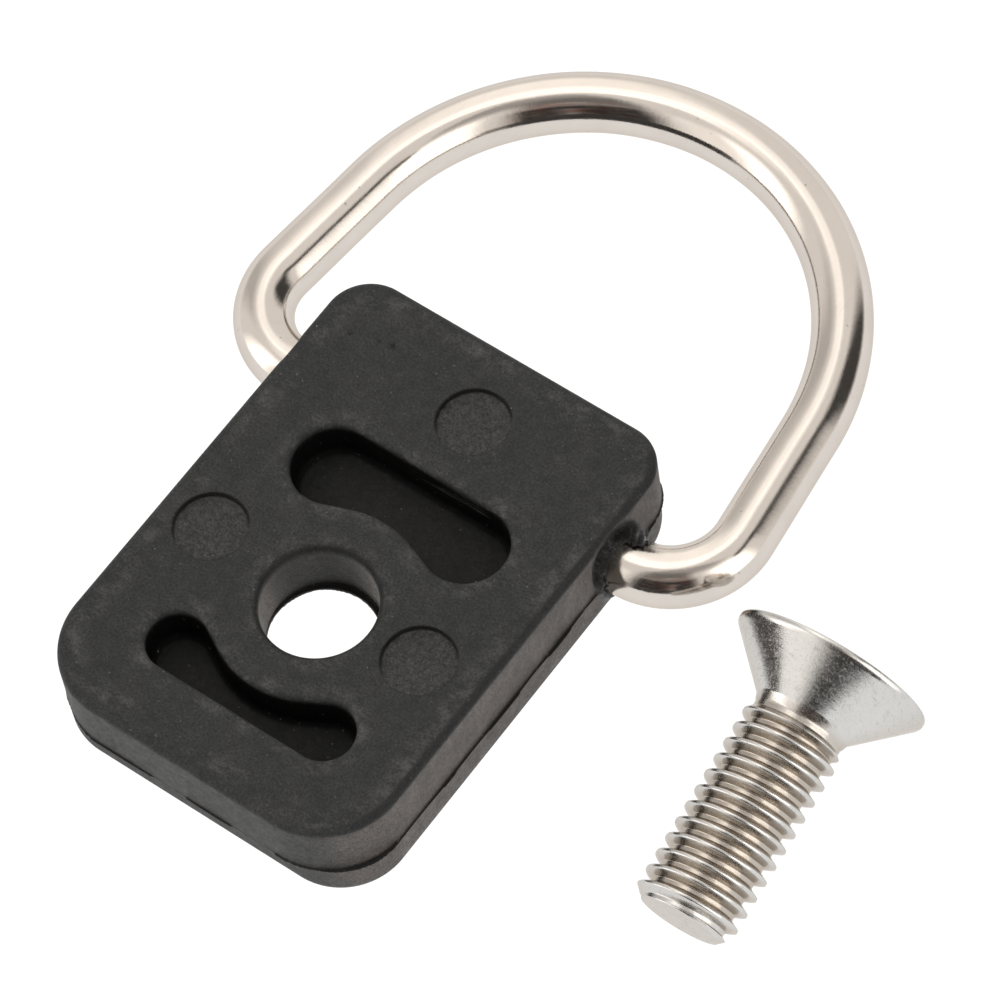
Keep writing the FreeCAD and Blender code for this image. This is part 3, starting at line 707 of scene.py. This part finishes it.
def rubber_features(place, colour):
    """The block's marks over its own colour, with painted shade in the pockets, on the edges and in the torn
    rubber, painted glints in the torn rubber, specks, and streaks of painted sheen.
    """
    marks = ramp(noise(place, 3.2, 10, 0.85), (0.38, (0.034, 0.035, 0.035)), (0.62, (0.112, 0.113, 0.112)))
    # Painted shade: the pocket floors are painted darker than the top face, and the pocket walls near black.
    pocket_floor_shade = noise(place, 2.6, 10, 0.8)
    pocket_floor_shade = ramp(pocket_floor_shade, (0.35, (0.003, 0.0032, 0.0032)), (0.65, (0.013, 0.0135, 0.0135)))
    # Painted shade and painted glints: the scoops are painted near black, with lighter flecks for glints.
    scoop_shade_and_glints = noise(place, 1.8, 6, 0.8)
    scoop_shade_and_glints = ramp(scoop_shade_and_glints, (0.46, (0.006, 0.006, 0.006)), (0.62, (0.085, 0.080, 0.076)))
    # Painted shade: the pockets, the top edge, the bore's rim and the seam lines are painted dark, and the
    # scoops dark with painted glints.
    layers = (("mark", 0.85, marks), ("pocket", 1.0, pocket_floor_shade), ("pocket_side", 1.0, (0.003, 0.003, 0.003)),
              ("edge", 0.6, (0.008, 0.008, 0.0085)), ("rim", 0.8, (0.008, 0.008, 0.0085)),
              ("seam", 1.0, (0.002, 0.002, 0.002)), ("scoop", 1.0, scoop_shade_and_glints))
    for part, amount, layer in layers:
        colour = blend("MIX", part_of(place, part, amount), colour, layer)
    specks = ramp(noise(place, 4.2, 2, 0.6), (0.70, 0), (0.75, 1))
    colour = blend("MIX", specks, colour, (0.13, 0.125, 0.12))
    # Painted sheen: lighter streaks are painted on the glossy part of a pocket wall.
    sheen_streaks = ramp(noise(place, 1.0, 2, 0.5, (0.15, 1.5, 6.0)), (0.58, 0), (0.64, 1))
    sheen_streaks = blend("MULTIPLY", 1, sheen_streaks, attribute(place, "glossy"))
    colour = blend("MIX", sheen_streaks, colour, (0.09, 0.09, 0.09))
    fine = ramp(noise(place, 7.0, 3, 0.7), (0.3, 0.45), (0.7, 1.55))
    return blend("MULTIPLY", 1, colour, fine)


def rubber():
    """Matt black moulded rubber, glossy only where it is torn round the wire."""
    material, shader, place = new_material("block_rubber")
    link(rubber_features(place, rubber_body(place)), shader.inputs["Base Color"])
    rough = ramp(noise(place, 1.4, 8, 0.7), (0.3, 0.5), (0.7, 0.68))
    link(blend("MIX", part_of(place, "scoop"), rough, 0.25), shader.inputs["Roughness"])
    shine = blend("MIX", part_of(place, "pocket_side"), 0.3, 0.08)
    shine = blend("MIX", part_of(place, "scoop"), shine, 0.75)
    link(shine, shader.inputs["Specular IOR Level"])
    grain = bump(shader, noise(place, 7.0, 6, 0.8), 0.06, 0.8)
    broad = bump(shader, noise(place, 0.6, 8, 0.65), 0.06, 0.5, grain)
    coarse = blend("ADD", 1, attribute(place, "mark"), attribute(place, "scoop"))
    torn = blend("MULTIPLY", 1, noise(place, 3.0, 9, 0.85), coarse)
    bump(shader, torn, 0.35, 0.9, broad)
    return material


def steel(name, colour, low, high, grain, scratch, stretch):
    """Stainless steel: its colour, its roughness from low to high, its grain in millimetres, how strong
    its scratches are and which way they run. The grooves of a thread are painted darker and browner, as
    shade.
    """
    material, shader, place = new_material(name)
    shader.inputs["Metallic"].default_value = 1.0
    shader.inputs["Specular Tint"].default_value = (0.78, 0.74, 0.70, 1)
    tint = ramp(noise(place, 0.4, 4, 0.6), (0.3, [c * 0.94 for c in colour]), (0.7, colour))
    specks = ramp(noise(place, 2.4, 2, 0.5), (0.74, 0), (0.78, 1))
    tint = blend("MIX", blend("MULTIPLY", 1, specks, 0.5), tint, (0.12, 0.11, 0.1))
    lines = ramp(noise(place, 1.0, 6, 0.75, stretch), (0.55, 0), (0.72, 1))
    tint = blend("MIX", blend("MULTIPLY", 1, lines, scratch), tint, [c * 0.55 for c in colour])
    # Painted shade: the thread's grooves are painted darker and browner.
    groove = blend("MULTIPLY", 1, attribute(place, "groove"), 0.6)
    link(blend("MIX", groove, tint, (0.40, 0.335, 0.265)), shader.inputs["Base Color"])
    rough = ramp(noise(place, 2.0, 5, 0.65), (0.3, low), (0.7, high))
    hairs = [ramp(noise(place, 1.6, 4, 0.7, way), (0.54, 0), (0.66, 1)) for way in ((7, 0.8, 5), (3, 5, 0.7))]
    hairs = blend("MULTIPLY", 1, blend("LIGHTEN", 1, *hairs), scratch)
    link(blend("MIX", hairs, rough, 0.5), shader.inputs["Roughness"])
    fine = bump(shader, noise(place, 5.0, 4, 0.7), grain, 0.5)
    drawn = bump(shader, noise(place, 1.0, 6, 0.75, stretch), grain * 2, scratch, fine)
    bump(shader, noise(place, 0.35, 2, 0.5), 0.05, 0.3, drawn)
    return material


# Studio


FLOOR_SIZE = 3000  # millimetres
FLOOR_MIDDLE = 1450  # millimetres along Y: the sheet ends 50 mm before the origin
FLOOR_GAP = 0.05  # millimetres under the block, so that the two faces don't share a plane
FLOOR_GLOW = 1.08


def make_floor():
    """A plain white sheet that glows by itself, so that nothing on it throws a shadow."""
    place = (0, FLOOR_MIDDLE * MM, (FRONT_Z - FLOOR_GAP) * MM)
    bpy.ops.mesh.primitive_plane_add(size=FLOOR_SIZE * MM, location=place)
    floor = bpy.context.object
    floor.name = "floor"
    material, shader, _ = new_material("floor_white")
    shader.inputs["Base Color"].default_value = (0, 0, 0, 1)
    shader.inputs["Specular IOR Level"].default_value = 0
    shader.inputs["Emission Color"].default_value = (1, 1, 1, 1)
    shader.inputs["Emission Strength"].default_value = FLOOR_GLOW
    floor.data.materials.append(material)


def calc(kind, a, b=0.0, c=0.0):
    """A Math node on sockets or numbers."""
    some = next(x for x in (a, b, c) if isinstance(x, bpy.types.NodeSocket))
    node = some.id_data.nodes.new("ShaderNodeMath")
    node.operation = kind
    for socket, value in zip(node.inputs, (a, b, c)):
        if isinstance(value, bpy.types.NodeSocket):
            link(value, socket)
        else:
            socket.default_value = value
    return node.outputs[0]


def panel(turn, rise, azimuth, elevation, width, height, soft=4.0):
    """1 inside a rectangle of the sky, given in degrees, and 0 outside it, with a soft border."""
    off = calc("ABSOLUTE", calc("WRAP", calc("SUBTRACT", turn, azimuth), 180, -180))
    over = calc("ABSOLUTE", calc("SUBTRACT", rise, elevation))
    inside = [calc("DIVIDE", calc("SUBTRACT", half / 2 + soft / 2, away), soft)
              for away, half in ((off, width), (over, height))]
    clear = [calc("MAXIMUM", calc("MINIMUM", value, 1.0), 0.0) for value in inside]
    return calc("MULTIPLY", *clear)


# Studio panels: azimuth (0 is the -Y side and 90 the +X side), elevation, width, height in degrees,
# soft border in degrees, and brightness.
PANELS = (
    (45, 76, 110, 24, 12, 0.5),
    (22, 60, 56, 28, 12, 0.22),
    (25, 15, 56, 64, 10, 0.03),
    (30, 54, 16, 4, 4, 0.5),
    (31, 22, 5, 22, 4, 0.25),
    (87, 22, 36, 66, 12, 2.4),
    (118, 52, 38, 9, 6, 0.08),
    (143, 27, 36, 48, 12, 0.07),
    (243, 77, 110, 22, 16, 2.0),
    (228, 66, 50, 20, 12, 1.9),
    (224, 42, 24, 42, 12, 1.5),
    (259, 25, 24, 42, 14, 0.64),
    (312, 14, 26, 72, 14, 2.3),
    (338, 22, 22, 60, 10, 1.3),
)


def make_world():
    """A room of pale warm panels with dark gaps, seen as white where the camera looks past the floor."""
    world = bpy.data.worlds.new("studio")
    bpy.context.scene.world = world
    world.use_nodes = True
    nodes, links = world.node_tree.nodes, world.node_tree.links
    direction = nodes.new("ShaderNodeTexCoord").outputs["Generated"]
    split = nodes.new("ShaderNodeSeparateXYZ")
    link(direction, split.inputs[0])
    forward = calc("MULTIPLY", split.outputs[1], -1.0)
    turn = calc("MULTIPLY", calc("ARCTAN2", split.outputs[0], forward), 180 / math.pi)
    rise = calc("MULTIPLY", calc("ARCSINE", split.outputs[2]), 180 / math.pi)
    light = 1.0
    for azimuth, elevation, width, height, soft, bright in PANELS:
        inside = panel(turn, rise, azimuth, elevation, width, height, soft)
        light = calc("ADD", calc("MULTIPLY", inside, bright),
                     calc("MULTIPLY", calc("SUBTRACT", 1.0, inside), light))
    speckle = ramp(noise(direction, 0.02, 4, 0.8), (0.5, 0), (0.68, 0.28))
    light = calc("ADD", light, calc("MULTIPLY", panel(turn, rise, 26, 26, 46, 60, 8), speckle))
    room = nodes["Background"]
    patches = ramp(noise(direction, 0.008, 3, 0.6), (0.45, 0), (0.6, 1))
    ruddy = calc("MULTIPLY", panel(turn, rise, 28, 34, 44, 50, 14), patches)
    link(blend("MIX", ruddy, (1, 0.96, 0.92), (1, 0.55, 0.45)), room.inputs["Color"])
    link(light, room.inputs["Strength"])
    seen = nodes.new("ShaderNodeBackground")
    seen.inputs["Color"].default_value = (1, 1, 1, 1)
    path, mix = nodes.new("ShaderNodeLightPath"), nodes.new("ShaderNodeMixShader")
    links.new(path.outputs["Is Camera Ray"], mix.inputs[0])
    links.new(room.outputs[0], mix.inputs[1])
    links.new(seen.outputs[0], mix.inputs[2])
    links.new(mix.outputs[0], nodes["World Output"].inputs["Surface"])


# Camera: its aim from the middle of the CAD model's box, its place round that and its lens
AIM_OFFSET = (-3.34, -2.11, -2.30)
AZIMUTH, ELEVATION, ROLL = 45.0, 59.30, -10.11
DISTANCE = 329.5
LENS, SENSOR = 216, 36


def make_camera():
    """The camera, aimed near the object's middle from the front right, with a slight roll."""
    aim = (cad_box[0] + cad_box[1]) / 2 + Vector(AIM_OFFSET) * MM
    azimuth, elevation, roll = (math.radians(angle) for angle in (AZIMUTH, ELEVATION, ROLL))
    away = Vector((math.sin(azimuth) * math.cos(elevation),
                   -math.cos(azimuth) * math.cos(elevation), math.sin(elevation)))
    level_right = (-away).cross(Vector((0, 0, 1))).normalized()
    level_up = level_right.cross(-away)
    right = math.cos(roll) * level_right + math.sin(roll) * level_up
    up = right.cross(-away)
    data = bpy.data.cameras.new("camera")
    data.lens, data.sensor_width = LENS, SENSOR
    camera = bpy.data.objects.new("camera", data)
    camera.matrix_world = (Matrix.Translation(aim + away * DISTANCE * MM)
                           @ Matrix((right, up, away)).transposed().to_4x4())
    bpy.context.scene.collection.objects.link(camera)
    bpy.context.scene.camera = camera


make_camera()
make_world()
make_floor()
bpy.context.scene.view_settings.view_transform = "Standard"

make_block(rubber())
make_ring(steel("ring_polish", (0.66, 0.61, 0.56), 0.07, 0.13, 0.006, 0.12, (5, 0.4, 5)))
make_screw(steel("screw_steel", (0.63, 0.62, 0.60), 0.10, 0.2, 0.008, 0.6, (1.5, 6, 1.5)))
